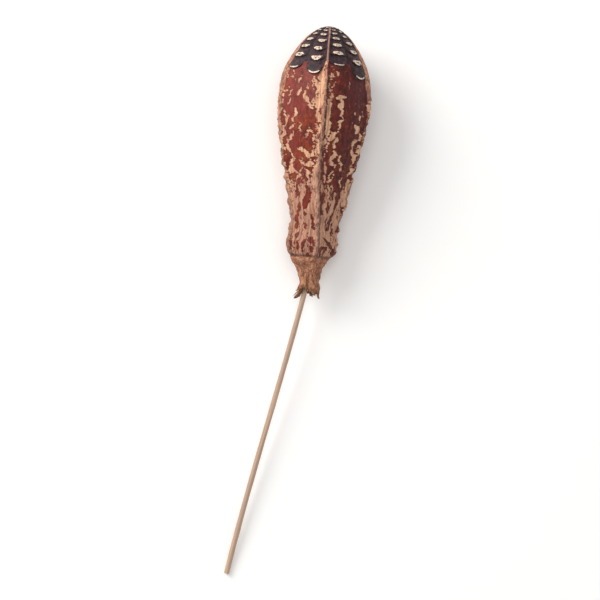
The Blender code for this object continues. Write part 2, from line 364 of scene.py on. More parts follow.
def turned(along, radius, angle):
    """Points of the pod's own space in millimetres: the tip at the origin and the axis along -Y."""
    turn = angle + TWIST * smooth_step(along, TWIST_FROM, TWIST_TO)
    side = radius * np.sin(turn) - SWAY * np.exp(-(((along - SWAY_MIDDLE) / SWAY_REACH) ** 2))
    return np.stack([side, -along, radius * np.cos(turn)], axis=-1)


def sphere_over(name, grid, first, last):
    """(object, row, segment): a closed mesh laid over a grid of rings, and each vertex's place in the grid."""
    count, segments = grid.shape[:2]
    bpy.ops.mesh.primitive_uv_sphere_add(segments=segments, ring_count=count + 1, radius=1.0)
    piece = bpy.context.object
    piece.name = piece.data.name = name
    unit = np.empty(len(piece.data.vertices) * 3)
    piece.data.vertices.foreach_get("co", unit)
    unit = unit.reshape(-1, 3)
    row = np.round(np.arccos(np.clip(unit[:, 2], -1.0, 1.0)) / math.pi * (count + 1)).astype(int) - 1
    turn = np.arctan2(unit[:, 1], unit[:, 0]) % (2 * math.pi)
    segment = np.round(turn / (2 * math.pi) * segments).astype(int) % segments
    places = grid[np.clip(row, 0, count - 1), segment]
    places[row < 0] = first
    places[row >= count] = last
    piece.data.vertices.foreach_set("co", places.ravel())
    return piece, np.clip(row, 0, count - 1), segment


def add_values(piece, name, values, kind="FLOAT"):
    """Stores a value, or a vector, on each vertex of a piece for its paint to read."""
    attribute = piece.data.attributes.new(name, kind, "POINT")
    socket = "value" if kind == "FLOAT" else "vector"
    attribute.data.foreach_set(socket, np.ascontiguousarray(values, float).ravel())


grid = np.stack([turned(place[:, 0], place[:, 1], rows.angle) for place in rows.places])
pod, pod_row, pod_segment = sphere_over("pod_surface", grid, (0.0, 0.0, 0.0), (0.0, -HOLLOW_FLOOR, 0.0))
print("vertices of the pod:", len(pod.data.vertices))


# %% [markdown]
# A dried fruit is never quite even. Noise pushes the surface in and out: slow dents some millimetres wide,
# shallow wrinkles along the grain, notches on the edges of the ribs, and lumps and furrows in the neck. It
# is read from the place on the unrolled surface, as the paint's noise is later, so both follow the grain.

# %% Dents and wrinkles
GRAIN_RADIUS = 16.0


def outward(points):
    """Directions away from the pod's axis."""
    away = points * (1.0, 0.0, 1.0)
    return away / np.maximum(np.linalg.norm(away, axis=1), 1e-6)[:, None]


def noise_at(points, scale):
    return np.array([noise.noise(Vector(point)) for point in points * scale])


values = np.stack(rows.values)[pod_row, pod_segment]
length, down, number, torn = values.T
angle = rows.angle[pod_segment]
points = np.empty(len(pod.data.vertices) * 3)
pod.data.vertices.foreach_get("co", points)
points = points.reshape(-1, 3)
round_axis = np.stack([GRAIN_RADIUS * np.sin(angle), length, GRAIN_RADIUS * np.cos(angle)], axis=-1)
dents = 0.28 * noise_at(round_axis, (0.16, 0.07, 0.16))
wrinkles = 0.16 * noise_at(round_axis, (0.7, 0.16, 0.7))
furrows = noise_at(round_axis, (0.9, 0.1, 0.9)) + 0.5 * noise_at(round_axis, (2.2, 0.4, 2.2))
on_body = (number < 0) * (1.0 - smooth_step(length, 122.0, 126.0))
foot = smooth_step(length, 84.0, 100.0) * (1.0 - smooth_step(length, 106.0, 116.0))
in_neck = smooth_step(length, CREASE_LENGTH, CREASE_LENGTH + 3.0)
from_edge = np.abs(angle - FACE_ANGLE * np.round(angle / FACE_ANGLE)) * np.interp(length, LENGTH, RADIUS)
notches = noise_at(round_axis, (0.25, 0.5, 0.25)) + 0.6 * noise_at(round_axis, (0.5, 1.3, 0.5))
on_edge = np.exp(-((from_edge / 1.6) ** 2)) * smooth_step(length, 27.0, 40.0) * (1.0 - in_neck)
lumps = noise_at(round_axis, (0.4, 0.35, 0.4)) + 0.6 * noise_at(round_axis, (1.0, 0.8, 1.0))
relief = dents + wrinkles * (1.0 + 1.5 * foot) + 0.45 * notches * on_edge
relief += (0.08 * furrows + 0.5 * lumps) * in_neck
points += outward(points) * (relief * on_body)[:, None]
print("deepest dent, mm:", round(float(dents.min()), 2))


# %% [markdown]
# The piece lies tilted, because the stick's end touches the surface. It is turned by that angle about the
# tip, and the tip goes where the plain model has it. What would sink into the surface is pressed flat, like
# the small worn spot that the real pod rests on.

# %% Lay the pod down
TILT = math.radians(4.74)
TIP = (3.94, 121.34, 21.26)
turn_down = np.array(Matrix.Rotation(TILT, 3, "X"))


def lay_down(points):
    """Points of the pod's own space in millimetres, in their lying place in metres."""
    laid = (points @ turn_down.T + TIP) * MM
    laid[:, 2] = np.maximum(laid[:, 2], 0.0)
    return laid


laid = lay_down(points)
pod.data.vertices.foreach_set("co", laid.ravel())
pod.data.shade_smooth()
pod.data.set_sharp_from_angle(angle=math.radians(55))
pod.data.update()
for name, corner, plain in zip(("low", "high"), (laid.min(0), laid.max(0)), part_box("pod")):
    print("pod", name, "corner is off the plain one by, mm:", np.round((corner - plain) / MM, 2))


# %% [markdown]
# Where the red film is gone, it went in streaks along the grain: long jagged ones, short dashes and some
# patches. Below the middle it is the other way round, with flecks of film left on bare wood. The streaks
# that show most are laid out like brush strokes: a width and a few places, each in degrees from the top rib
# and millimetres from the tip. Those on the three lower faces are drawn at random in the same manner, with
# a fixed seed, so that they never change.

# %% Streaks in the red film
BARE_STREAKS = [
    (1.7, (-3, 26), (-5, 30), (-7, 35)),
    (0.8, (-36, 33), (-38, 34), (-42, 36)),
    (0.9, (-35, 38), (-38, 40), (-42, 41)),
    (0.6, (-57, 38), (-60, 39), (-65, 40)),
    (0.8, (-49, 39), (-53, 40), (-58, 42)),
    (0.9, (-52, 43), (-55, 45), (-57, 46)),
    (0.7, (-69, 29), (-66, 31), (-66, 32), (-61, 34)),
    (0.6, (-55, 30), (-51, 32), (-54, 33)),
    (0.7, (-57, 33), (-48, 34), (-46, 35)),
    (0.6, (-67, 39), (-68, 41), (-67, 43), (-68, 46)),
    (1.3, (-27, 37), (-24, 39)),
    (1.7, (-29, 40), (-28, 42), (-22, 44), (-17, 47)),
    (2.9, (-6, 31), (-6, 34), (-5, 39), (-4, 43), (-4, 46)),
    (1.7, (-18, 33), (-13, 35), (-11, 37), (-9, 39), (-11, 43), (-11, 46)),
    (1.2, (-19, 35), (-17, 37), (-15, 39)),
    (1.3, (-15, 43), (-15, 47)),
    (0.9, (17, 30), (14, 32), (9, 33), (4, 34)),
    (0.8, (6, 31), (9, 32), (4, 33)),
    (0.6, (8, 28), (11, 29), (8, 30)),
    (0.7, (14, 30), (16, 32)),
    (0.9, (13, 35), (10, 37), (8, 38)),
    (1.7, (4, 35), (4, 37), (8, 40), (7, 42), (6, 44), (6, 46)),
    (0.5, (35, 34), (34, 37)),
    (1.2, (16, 42), (23, 41), (31, 41)),
    (2.0, (21, 42), (24, 43), (26, 46)),
    (1.5, (-42, 47), (-40, 49), (-43, 50)),
    (
        1.2,
        (-45, 51), (-46, 52), (-44, 54), (-45, 55), (-51, 56), (-46, 58), (-52, 60), (-57, 61),
        (-62, 63),
    ),
    (1.6, (-61, 63), (-58, 65), (-54, 66), (-52, 68), (-47, 69)),
    (2.6, (-49, 70), (-55, 71), (-57, 73), (-55, 74), (-62, 75)),
    (0.8, (-65, 48), (-60, 49), (-65, 50), (-60, 51)),
    (0.9, (-57, 50), (-56, 51), (-60, 52), (-58, 53), (-62, 55)),
    (1.5, (-65, 55), (-67, 56), (-64, 58), (-68, 59), (-69, 60)),
    (1.0, (-18, 56), (-20, 57), (-24, 60)),
    (1.2, (-18, 56), (-14, 57), (-11, 59), (-13, 60), (-9, 62)),
    (1.9, (-38, 65), (-32, 65), (-26, 66), (-18, 68), (-13, 67), (-11, 65), (-11, 63)),
    (1.5, (-17, 68), (-15, 70), (-10, 71), (-18, 72), (-26, 72), (-31, 71), (-37, 70)),
    (2.2, (-31, 73), (-38, 75), (-35, 76)),
    (1.3, (-30, 76), (-41, 77), (-47, 78)),
    (0.9, (-53, 73), (-47, 75), (-38, 76)),
    (1.5, (-27, 73), (-19, 75), (-22, 76), (-19, 78), (-16, 80), (-13, 82)),
    (1.2, (-10, 74), (-9, 77), (-9, 79)),
    (0.8, (-68, 81), (-65, 80), (-58, 81), (-50, 81)),
    (0.7, (-66, 83), (-58, 82), (-54, 83)),
    (1.5, (-39, 80), (-33, 82), (-32, 83), (-34, 85)),
    (3.2, (-8, 44), (-7, 47)),
    (2.0, (-8, 48), (-6, 50), (-6, 53)),
    (1.2, (-9, 53), (-7, 56)),
    (2.1, (5, 44), (7, 45), (7, 48), (7, 50)),
    (2.6, (6, 51), (7, 53), (8, 56), (6, 59)),
    (1.5, (5, 60), (4, 62)),
    (1.7, (25, 43), (22, 45), (26, 47), (25, 49)),
    (0.8, (25, 49), (29, 51), (23, 52), (26, 54), (23, 56), (20, 57)),
    (2.3, (18, 57), (15, 59), (12, 60)),
    (1.5, (24, 59), (21, 61), (21, 63), (19, 64)),
    (2.6, (20, 65), (23, 66), (21, 68), (18, 69), (22, 71)),
    (0.9, (21, 71), (29, 71), (25, 74), (20, 75), (18, 77)),
    (1.0, (29, 75), (26, 77), (22, 78), (17, 79)),
    (1.9, (34, 67), (35, 69), (40, 71), (40, 73)),
    (2.6, (52, 53), (60, 54), (54, 56)),
    (
        1.5,
        (64, 56), (68, 58), (64, 59), (56, 60), (56, 63), (56, 64), (64, 66), (64, 68),
        (63, 71), (66, 72), (65, 74), (61, 75),
    ),
    (0.7, (47, 47), (47, 48)),
    (0.6, (56, 48), (58, 49), (57, 51)),
    (0.6, (44, 51), (45, 52)),
    (0.6, (60, 46), (64, 48)),
    (2.2, (65, 77), (65, 80), (63, 83)),
    (1.3, (23, 82), (21, 84)),
    (0.8, (10, 61), (10, 64), (7, 66), (7, 68)),
    (0.7, (67, 61), (67, 64), (67, 65)),
    (1.0, (9, 70), (11, 73), (10, 76), (11, 79)),
]
FILM_STREAKS = [
    (0.7, (-13, 38), (-12, 39)),
    (0.6, (-12, 41), (-12, 42)),
    (0.5, (-13, 33), (-9, 35)),
    (0.6, (-20, 41), (-18, 43)),
    (2.5, (-47, 83), (-47, 85)),
    (2.6, (-22, 82), (-21, 85), (-28, 88), (-30, 90)),
    (1.3, (-45, 89), (-53, 92), (-57, 96), (-56, 98), (-58, 100)),
    (1.1, (-34, 93), (-33, 94)),
    (0.9, (-16, 94), (-12, 96), (-12, 99), (-8, 100)),
    (0.9, (-33, 98), (-30, 100)),
    (0.8, (-49, 102), (-53, 104)),
    (0.9, (-17, 104), (-14, 106)),
    (0.8, (-11, 104), (-6, 107)),
    (0.9, (-27, 105), (-34, 107), (-35, 110)),
    (0.8, (-47, 106), (-49, 109)),
    (0.8, (-64, 106), (-67, 109)),
    (1.2, (-14, 108), (-10, 110)),
    (0.9, (-22, 111), (-13, 113)),
    (4.9, (42, 81), (44, 82)),
    (2.0, (49, 82), (47, 85), (45, 89)),
    (1.0, (32, 83), (33, 86)),
    (1.0, (13, 84), (8, 86), (5, 90), (8, 93)),
    (0.9, (22, 88), (22, 92)),
    (1.4, (41, 93), (36, 96), (33, 99), (28, 100)),
    (0.9, (49, 99), (46, 102)),
    (0.8, (68, 98), (68, 100)),
    (1.1, (21, 104), (36, 106), (62, 108), (69, 111)),
    (0.9, (16, 112), (10, 109), (17, 108), (32, 108)),
]
HIDDEN_FACES = (1, 2, 3)
rng = np.random.default_rng(11)


def drawn_streaks(face, count, first, last, shortest, longest):
    """Random jagged streaks on one face, between two distances from the tip."""
    streaks = []
    for start in np.sort(rng.uniform(first, last, count)):
        place = math.degrees(FACE_ANGLE) * (face + rng.uniform(0.12, 0.88))
        reach = rng.uniform(shortest, longest)
        points = [(place, start)]
        while points[-1][1] < start + reach:
            place += rng.uniform(-5.0, 5.0)
            points.append((place, points[-1][1] + rng.uniform(1.2, 2.4)))
        streaks.append((rng.uniform(0.7, 2.4), *points))
    return streaks


for face in HIDDEN_FACES:
    BARE_STREAKS += drawn_streaks(face, 11, 32.0, 46.0, 2.0, 8.0)
    BARE_STREAKS += drawn_streaks(face, 14, 46.0, 72.0, 5.0, 18.0)
    FILM_STREAKS += drawn_streaks(face, 14, 82.0, 106.0, 2.0, 6.0)
print("streaks of bare wood:", len(BARE_STREAKS), "flecks of film:", len(FILM_STREAKS))

# %% [markdown]
# Each vertex now gets a signed distance: how many millimetres it is inside the nearest streak, or outside
# it when negative. Distances blend well between vertices, so the edge that the shader cuts at zero stays
# crisp. The place is first pushed sideways by noise, which makes the streaks jagged, and slower noise lets
# their width swell and shrink.

# %% Distances to the streaks
local_radius = np.interp(length, LENGTH, RADIUS)
zigzag = 0.5 * noise_at(round_axis, (0.12, 0.4, 0.12)) + 0.9 * noise_at(round_axis + 50.0, (0.35, 0.9, 0.35))
swell = 1.0 + 1.1 * noise_at(round_axis + 90.0, (0.2, 0.3, 0.2))


def inside_streaks(streaks):
    """Signed distance in millimetres into the nearest streak, for each vertex."""
    deepest = np.full(len(length), -6.0)
    for width, *places in streaks:
        places = np.array(places, float)
        near = np.flatnonzero((length > places[:, 1].min() - 8.0) & (length < places[:, 1].max() + 8.0))
        middle = math.radians(places[:, 0].mean())
        turn = (angle[near] - middle + math.pi) % (2 * math.pi) - math.pi
        here = np.stack([turn * local_radius[near] + zigzag[near], length[near]], axis=-1)
        radius_at = np.interp(places[:, 1], LENGTH, RADIUS)
        knots = np.stack([(np.radians(places[:, 0]) - middle) * radius_at, places[:, 1]], axis=-1)
        for i in range(len(knots) - 1):
            run = knots[i + 1] - knots[i]
            share = np.clip((here - knots[i]) @ run / max(run @ run, 1e-6), 0.0, 1.0)
            away = np.linalg.norm(here - knots[i] - share[:, None] * run, axis=1)
            along = (i + share) / (len(knots) - 1)
            half = width / 2 * (1.0 - 0.45 * (2.0 * along - 1.0) ** 2)
            deepest[near] = np.maximum(deepest[near], half * swell[near] - away)
    return deepest


bare = inside_streaks(BARE_STREAKS)
left_on = inside_streaks(FILM_STREAKS)
print("share of vertices in a bare streak:", round(float((bare > 0).mean()), 3))

# %% [markdown]
# The paint needs to know where it is. Besides the streaks, the mesh stores a vector that unrolls the grain
# round the axis, so that noise can be stretched along it, the distance to the nearest rib, a base for the
# random wear in millimetres, and how far the purple stain, the neck and the torn wood reach. The place on
# a scale goes into a UV map instead, because it jumps from one column to the next, and a UV map may jump.

# %% Values for the paint
off_rib = (angle - FACE_ANGLE * np.round(angle / FACE_ANGLE)) * local_radius
rib_side = np.abs(off_rib)
in_front = 1.0 - smooth_step(np.abs((angle + math.pi) % (2 * math.pi) - math.pi), 1.0, 1.35)
by_front_rib = np.exp(-(((angle + math.pi) % (2 * math.pi) - math.pi) / 0.45) ** 2)
on_right = smooth_step(np.sin(angle), 0.5, 0.9)
near_rib = np.exp(-np.maximum(rib_side - 1.0, 0.0) / 1.4)
wear = (
    -1.7
    - 1.2 * in_front
    + (1.8 + 0.2 * by_front_rib - 1.0 * on_right) * near_rib * smooth_step(length, 26.0, 34.0)
    + 1.3 * np.exp(-(((off_rib + 2.8) / 1.6) ** 2)) * by_front_rib * smooth_step(length, 28.0, 40.0)
    + 0.3 * smooth_step(length, 42.0, 60.0)
)
stain = (1.0 - smooth_step(length, 30.0, 64.0)) * smooth_step(np.sin(angle - 0.45), -0.3, 0.75)
# The side away from the key light: the paint darkens the film there as painted shade, lightens the tan there as
# painted fill light and keeps more film on its rib.
shade = smooth_step(np.sin(angle - 0.1), -0.1, 0.35)
neck = smooth_step(length, CREASE_LENGTH - 0.4, CREASE_LENGTH + 0.5)
add_values(pod, "grain", round_axis, "FLOAT_VECTOR")
add_values(pod, "off_rib", off_rib)
add_values(pod, "wear", wear)
add_values(pod, "by_front_rib", by_front_rib)
add_values(pod, "bare", bare)
add_values(pod, "left_on", left_on)
add_values(pod, "stain", stain)
add_values(pod, "shade", shade)
add_values(pod, "crown", number >= 0)
add_values(pod, "scale_number", np.maximum(number, 0))
add_values(pod, "neck", neck)
add_values(pod, "torn", torn)
add_values(pod, "from_tip", length)


def add_scale_map(piece, row, segment):
    """A UV map with the place across a column, from -1 to 1, and down a scale, from 0 to 1."""
    corners = np.empty(len(piece.data.loops), int)
    piece.data.loops.foreach_get("vertex_index", corners)
    starts = np.empty(len(piece.data.polygons), int)
    totals = np.empty(len(piece.data.polygons), int)
    piece.data.polygons.foreach_get("loop_start", starts)
    piece.data.polygons.foreach_get("loop_total", totals)
    face = np.repeat(np.arange(len(totals)), totals)
    at = segment[corners]
    least = np.minimum.reduceat(at, starts)
    most = np.maximum.reduceat(at, starts)
    wraps = (most - least > 2)[face]
    at = np.where(wraps & (at < SEGMENTS / 2), at + SEGMENTS, at)
    column = np.minimum.reduceat(at, starts)[face] // STEPS_PER_COLUMN
    inside = at - column * STEPS_PER_COLUMN
    even = 2.0 * inside / STEPS_PER_COLUMN - 1.0
    across = 0.5 * even + 0.5 * np.sin(even * math.pi / 2)
    layer = piece.data.uv_layers.new(name="scale_place")
    layer.data.foreach_set("uv", np.stack([across, down[corners]], axis=-1).ravel())
    while len(piece.data.uv_layers) > 1:
        piece.data.uv_layers.remove(next(other for other in piece.data.uv_layers if other.name != layer.name))


add_scale_map(pod, pod_row, pod_segment)
print("paint values:", [attribute.name for attribute in pod.data.attributes if not attribute.is_internal])


# %% [markdown]
# Long node trees are easier to read as sums. A small class wraps a socket, and its operators add the Math
# nodes. Colours and vectors have their own nodes, because a Math node would turn a colour grey.

# %% Shader maths as expressions
class Paint:
    """The node tree of one material."""

    def __init__(self, name):
        self.material = bpy.data.materials.new(name)
        self.material.use_nodes = True
        self.tree = self.material.node_tree
        self.surface = self.tree.nodes["Principled BSDF"]

    def node(self, kind, settings=None, out=0, **values):
        """Adds a node, sets it up and links or fills its sockets, and returns one output as a value."""
        made = self.tree.nodes.new("ShaderNode" + kind)
        for name, setting in (settings or {}).items():
            setattr(made, name, setting)
        for key, value in values.items():
            socket = made.inputs[int(key[1:])] if key[1:].isdigit() else made.inputs[key.replace("_", " ")]
            self.feed(socket, value)
        return Value(self, made.outputs[out])

    def feed(self, socket, value):
        if isinstance(value, Value):
            self.tree.links.new(value.socket, socket)
        else:
            socket.default_value = value

    def stored(self, name, out="Fac"):
        return self.node("Attribute", {"attribute_name": name}, out)

    def blend(self, share, first, second, how="MIX"):
        """A colour between two, by a share from 0 to 1."""
        return self.node("Mix", {"data_type": "RGBA", "blend_type": how}, 2, _0=share, _6=first, _7=second)

    def stretch(self, vector, scale, offset=(0.0, 0.0, 0.0)):
        return self.node("VectorMath", {"operation": "MULTIPLY_ADD"}, _0=vector, _1=scale, _2=offset)

    def noise(self, vector, detail=2.0, roughness=0.5):
        """Noise from 0 to 1 at a vector that is already stretched."""
        settings = {"noise_dimensions": "3D"}
        return self.node("TexNoise", settings, Vector=vector, Scale=1.0, Detail=detail, Roughness=roughness)

    def step(self, value, low, high):
        """0 below low, 1 above high and smooth between them."""
        settings = {"interpolation_type": "SMOOTHSTEP"}
        return self.node("MapRange", settings, Value=value, From_Min=low, From_Max=high)


class Value:
    """One output socket, with arithmetic."""

    def __init__(self, paint, socket):
        self.paint, self.socket = paint, socket

    def math(self, operation, first, second=0.0):
        return self.paint.node("Math", {"operation": operation}, _0=first, _1=second)

    def __add__(self, other):
        return self.math("ADD", self, other)

    def __sub__(self, other):
        return self.math("SUBTRACT", self, other)

    def __mul__(self, other):
        return self.math("MULTIPLY", self, other)

    def __truediv__(self, other):
        return self.math("DIVIDE", self, other)

    def __pow__(self, other):
        return self.math("POWER", self, other)

    def __radd__(self, other):
        return self.math("ADD", other, self)

    def __rsub__(self, other):
        return self.math("SUBTRACT", other, self)

    def __rmul__(self, other):
        return self.math("MULTIPLY", other, self)

    def __abs__(self):
        return self.math("ABSOLUTE", self)

    def larger(self, other):
        return self.math("MAXIMUM", self, other)

    def smaller(self, other):
        return self.math("MINIMUM", self, other)


def colour(red, green, blue):
    """A colour given as seen on a screen, from 0 to 255, in the linear values that Blender wants."""
    linear = [((c / 255 + 0.055) / 1.055) ** 2.4 if c > 10 else c / 255 / 12.92 for c in (red, green, blue)]
    return (*linear, 1.0)


print("the red of the film:", [round(c, 3) for c in colour(135, 60, 48)])


# %% [markdown]
# The pod's paint is built in layers, from the wood outwards, and each layer is a short function in a cell of
# its own. The layers share the stored values and some noise. Most of the noise is stretched along the
# grain, because dry wood splits and wears along its fibres. Where no grain shows, as in the lumpy neck and
# on the scales, it follows plain space. A colour is dabbed over another wherever a value passes a step.

# %% Values and noise that the layers share
class PodPaint(Paint):
    """The pod's paint, with the stored values and the noise that its layers share."""

    def __init__(self):
        super().__init__("pod_wood")
        self.grain = self.stored("grain", "Vector")
        self.where = self.node("TexCoord", None, "Object")
        self.from_tip, self.off_rib = self.stored("from_tip"), self.stored("off_rib")
        self.by_front_rib = self.stored("by_front_rib")
        self.stain, self.shade, self.neck, self.crown = map(self.stored, ("stain", "shade", "neck", "crown"))
        self.foot = self.step(self.from_tip, 72.0, 86.0) * (1.0 - self.neck)
        self.fibres = self.field(self.grain, 1.3, 0.16, (0.0, 0.0, 0.0), 4.0, 0.65)
        self.fine_fibres = self.field(self.grain, 4.5, 0.5, (7.0, 0.0, 3.0), 3.0, 0.6)
        self.specks = self.field(self.grain, 1.6, 0.9, (3.0, 1.0, 8.0), 3.0, 0.6)
        self.patches = self.field(self.grain, 0.16, 0.08, (3.0, 9.0, 1.0))
        self.dabs = self.field(self.grain, 0.5, 0.35, (2.0, 7.0, 4.0), 3.0, 0.6)
        self.mottle = self.field(self.grain, 1.9, 0.5, (8.0, 3.0, 5.0), 4.0, 0.7)
        self.bumps = self.field(self.where, 620.0, 480.0, (0.0, 0.0, 0.0), 4.0, 0.65)
        self.crumbs = self.field(self.where, 1900.0, 1500.0, (0.0, 0.0, 0.0), 3.0, 0.6)

    def field(self, vector, across, along, offset, detail=2.0, roughness=0.5):
        """Noise with its own scale across and along the pod."""
        return self.noise(self.stretch(vector, (across, along, across), offset), detail, roughness)

    def dabbed(self, base, *dabs):
        """A colour with others dabbed over it, each by a value, a low and a high step, a share and a colour."""
        for value, low, high, share, over in dabs:
            base = self.blend(self.step(value, low, high) * share, base, colour(*over))
        return base


pod_paint = PodPaint()
print("nodes shared by the layers:", len(pod_paint.tree.nodes))


# %% [markdown]
# Under the film lies tan wood. Light and dark fibres run along it, with broad greyer patches and small brown
# specks. Towards the foot it turns duller and, on the lit side, a little pink. On the side away from the
# light it is painted a little lighter, as painted fill light.

# %% Tan wood
def tan_wood(paint):
    tan = paint.dabbed(
        colour(148, 100, 76),
        (paint.fibres, 0.3, 0.62, 1.0, (222, 173, 138)),
        (paint.patches, 0.5, 0.7, 0.5, (168, 124, 108)),
        (paint.fine_fibres, 0.54, 0.74, 0.6, (126, 80, 62)),
        (paint.specks, 0.6, 0.7, 0.4 + paint.foot * 0.3, (104, 62, 54)),
    )
    tan = paint.blend(paint.foot * 0.75, tan, paint.blend(1.0, tan, colour(220, 208, 212), "MULTIPLY"))
    # Painted fill light: the tan on the side away from the key light is made lighter.
    tan = paint.blend(paint.shade * 0.22, tan, colour(228, 182, 150))
    pinkish = paint.foot * (1.0 - paint.shade) * 0.5
    return paint.dabbed(tan, (paint.dabs, 0.45, 0.62, pinkish, (158, 116, 110)))


tan = tan_wood(pod_paint)
print("nodes with the tan wood:", len(pod_paint.tree.nodes))


# %% [markdown]
# The film wears off in jagged streaks. The noise for it is read at places that are pushed sideways round
# the pod by other noise, which bends smooth blobs into zigzags. Three things decide where wood is bare: the
# random wear, the drawn streaks, and the flecks of film that are left on. All are distances in millimetres
# into bare wood, so the larger and the smaller of two are enough to join them.

# %% Where the film is gone
def bend_sideways(paint):
    """Adds the teeth of all worn edges, the grain bent into zigzags, and small flecks that follow it."""
    paint.teeth = paint.field(paint.grain, 0.45, 1.1, (5.0, 1.0, 8.0), 2.0, 0.6) - 0.5
    zigzag = paint.field(paint.grain, 0.1, 0.3, (11.0, 4.0, 2.0), 1.0, 0.4) - 0.5
    axis = (0.0, 1.0 / GRAIN_RADIUS, 0.0)
    sideways = paint.node("VectorMath", {"operation": "CROSS_PRODUCT"}, _0=axis, _1=paint.grain)
    by = zigzag * 5.0 + paint.teeth * 3.0
    shift = paint.node("VectorMath", {"operation": "SCALE"}, _0=sideways, Scale=by)
    paint.bent = paint.node("VectorMath", {"operation": "ADD"}, _0=paint.grain, _1=shift)
    paint.flecks = paint.field(paint.bent, 0.85, 0.22, (4.0, 2.0, 7.0), 2.0, 0.55) - 0.5


def worn_through(paint):
    """How far each place is into bare wood, in millimetres, and negative where film is left."""
    flakes = paint.field(paint.bent, 0.3, 0.06, (0.0, 2.0, 0.0), 2.0, 0.55) - 0.5
    slivers = paint.field(paint.bent, 1.0, 0.17, (9.0, 5.0, 1.0), 2.0, 0.6) - 0.5
    ragged = paint.teeth * 3.0 + (paint.fine_fibres - 0.5) * 1.2
    worn = paint.stored("wear") + flakes * 8.0 + paint.flecks * 6.0 + ragged * 1.1
    worn_foot = 1.05 - slivers * 9.0 - flakes * 3.0 + ragged
    worn = worn + (worn_foot - worn) * paint.foot
    worn = worn.larger(paint.stored("bare") + ragged * 0.85)
    return worn.smaller(-0.35 - paint.stored("left_on") - ragged * 0.5)


bend_sideways(pod_paint)
worn = worn_through(pod_paint)
film = (1.0 - pod_paint.step(worn, -0.1, 0.12)) * (1.0 - pod_paint.neck)
print("nodes with the wear:", len(pod_paint.tree.nodes))


# %% [markdown]
# The film itself is a mahogany red that is never even: clouds of orange-brown, dark dabs, a pinker painted
# sheen high on the lit side, a browner and darker red on the other side, partly its own colour and partly
# painted shade, and a purple stain below the crown. Scuffs lighten it, and a thin dark line follows every
# worn edge, partly the film's own edge and partly painted shade.

# %% Red film
def red_film(paint, worn):
    clouds = paint.field(paint.grain, 0.16, 0.09, (1.0, 6.0, 2.0), 3.0, 0.6)
    # The next noise draws a painted sheen: a pinker patch high on the lit side of the film.
    sheen_noise = paint.field(paint.grain, 0.12, 0.1, (6.0, 2.0, 9.0), 3.0, 0.6)
    scuffs = paint.field(paint.grain, 1.1, 0.5, (5.0, 8.0, 3.0), 4.0, 0.7)
    sheen_share = (1.0 - paint.shade) * (1.0 - paint.step(paint.from_tip, 32.0, 62.0)) * 0.6
    lit_side = paint.dabbed(
        colour(92, 26, 17),
        (clouds, 0.38, 0.58, 1.0, (134, 53, 21)),
        (paint.patches, 0.44, 0.56, 0.75, (124, 42, 32)),
        (paint.dabs, 0.5, 0.64, 0.6, (66, 19, 13)),
        # painted sheen, high on the lit side
        (sheen_noise, 0.35, 0.6, sheen_share, (138, 58, 55)),
    )
    # On the side away from the light the film is a browner, darker red: partly its own colour, partly painted
    # shade.
    darker_film_and_shade = paint.dabbed(colour(98, 29, 16), (paint.dabs, 0.4, 0.6, 1.0, (56, 16, 15)))
    purple = paint.dabbed(colour(54, 22, 36), (paint.dabs, 0.36, 0.6, 1.0, (88, 32, 34)))
    # partly painted shade: the film darkens towards the side away from the light
    red = paint.blend(paint.shade * 0.85, lit_side, darker_film_and_shade)
    red = paint.blend(paint.stain * paint.step(clouds, 0.25, 0.5), red, purple)
    return paint.dabbed(
        red,
        (paint.fibres, 0.48, 0.68, 0.45, (64, 22, 18)),
        (scuffs, 0.54, 0.68, 0.4, (164, 92, 62)),
        (1.0 - scuffs, 0.54, 0.66, 0.45, (48, 18, 14)),
        # A thin dark line along every worn edge: partly the film's own edge, partly painted shade.
        (worn, -0.8, -0.15, 0.4, (74, 26, 18)),
    )


skin = pod_paint.blend(film, tan, red_film(pod_paint, worn))
print("nodes with the film:", len(pod_paint.tree.nodes))


# %% [markdown]
# The ribs stand out, so they wear first. Their wood is light near the crown and rough, grey and pitted
# farther down. The side ribs are broad where they leave the crown and keep flecks of film below it. A
# painted shadow, a dark line, runs along one side of each rib and is strongest at the one on top.

# %% Ribs
def rib_wood_colour(paint):
    light = paint.dabbed(
        colour(204, 152, 124),
        (paint.mottle, 0.4, 0.6, 1.0, (142, 98, 82)),
        (paint.specks, 0.54, 0.64, 0.6, (140, 74, 48)),
    )
    grey = paint.dabbed(
        colour(168, 126, 108),
        (paint.mottle, 0.4, 0.6, 1.0, (104, 76, 66)),
        (paint.mottle, 0.56, 0.64, 0.8, (66, 44, 38)),
        (paint.specks, 0.6, 0.68, 0.7, (186, 140, 120)),
    )
    wood = paint.blend(paint.step(paint.from_tip, 46.0, 66.0) * 0.8, light, grey)
    return paint.blend(paint.crown * paint.by_front_rib * 0.6, wood, colour(142, 106, 96))


def extra_width(paint):
    """How much broader the side ribs are round the lower crown, in millimetres."""
    near_crown = paint.step(paint.from_tip, 13.0, 26.0) * (1.0 - paint.step(paint.from_tip, 32.0, 54.0))
    return near_crown * (1.0 - paint.by_front_rib) * 1.3


def rib_share(paint, broad):
    """Where the wood of the ribs shows on the body, without the flecks of film that are left on it."""
    kept_film = paint.step(paint.flecks + paint.shade * 0.07, 0.0, 0.05) * (1.0 - paint.by_front_rib)
    kept_film = kept_film * paint.step(paint.from_tip, 32.0, 46.0)
    narrow = (1.0 - paint.step(paint.from_tip, 30.0, 46.0)) * 0.35
    off_edge = abs(paint.off_rib) + narrow - broad + (paint.fibres - 0.5) * 2.4
    return (1.0 - paint.step(off_edge, 0.6, 1.1)) * (1.0 - kept_film * 0.85)


